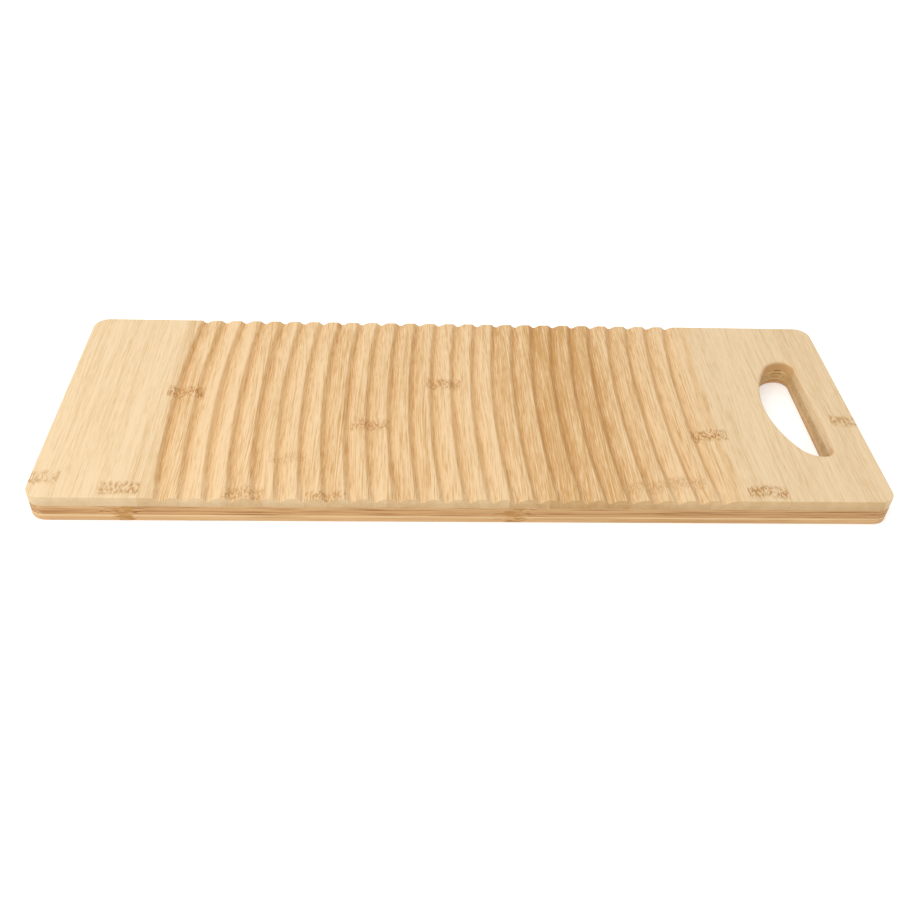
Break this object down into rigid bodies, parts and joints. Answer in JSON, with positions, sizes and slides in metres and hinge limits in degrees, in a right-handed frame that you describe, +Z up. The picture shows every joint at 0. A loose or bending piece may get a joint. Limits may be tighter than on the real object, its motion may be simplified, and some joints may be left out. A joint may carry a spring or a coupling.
{
  "type": "washboard",
  "caption": "Flat laminated bamboo washboard with a grooved rubbing field between two smooth ends, rounded corners and a D-shaped hand slot through one end.",
  "frame": {"origin": "centre of the flat underside", "axes": "+X along the board towards the hand slot, +Y across the board, +Z up out of the grooved rubbing face"},
  "size_m": [0.5, 0.18, 0.018],
  "materials": {
    "face_bamboo": "satin, bare sanded bamboo, grain across the board",
    "core_bamboo": "satin, carbonised bamboo, grain along the board",
    "back_bamboo": "satin, bare sanded bamboo, grain along the board"
  },
  "bodies": {
    "root": {"back_end_block_4": "back_bamboo", "back_end_block_5": "back_bamboo", "back_end_block_6": "back_bamboo", "back_strip_1": "back_bamboo", "back_strip_2": "back_bamboo", "back_strip_3": "back_bamboo", "back_strip_4": "back_bamboo", "back_strip_5": "back_bamboo", "back_strip_6": "back_bamboo", "back_strip_7": "back_bamboo", "back_strip_8": "back_bamboo", "back_strip_9": "back_bamboo", "core_end_block_3": "core_bamboo", "core_end_block_4": "core_bamboo", "core_end_block_5": "core_bamboo", "core_end_block_6": "core_bamboo", "core_strip_1": "core_bamboo", "core_strip_2": "core_bamboo", "core_strip_3": "core_bamboo", "core_strip_4": "core_bamboo", "core_strip_5": "core_bamboo", "core_strip_6": "core_bamboo", "core_strip_7": "core_bamboo", "core_strip_8": "core_bamboo", "face_strip_01": "face_bamboo", "face_strip_02": "face_bamboo", "face_strip_03": "face_bamboo", "face_strip_04": "face_bamboo", "face_strip_05": "face_bamboo", "face_strip_06": "face_bamboo", "face_strip_07": "face_bamboo", "face_strip_08": "face_bamboo", "face_strip_09": "face_bamboo", "face_strip_10": "face_bamboo", "face_strip_11": "face_bamboo", "face_strip_12": "face_bamboo", "face_strip_13": "face_bamboo", "face_strip_14": "face_bamboo", "face_strip_15": "face_bamboo", "face_strip_16": "face_bamboo", "face_strip_17": "face_bamboo", "face_strip_18": "face_bamboo", "face_strip_19": "face_bamboo", "face_strip_20": "face_bamboo", "face_strip_21": "face_bamboo", "face_strip_22": "face_bamboo"}
  },
  "joints": []
}
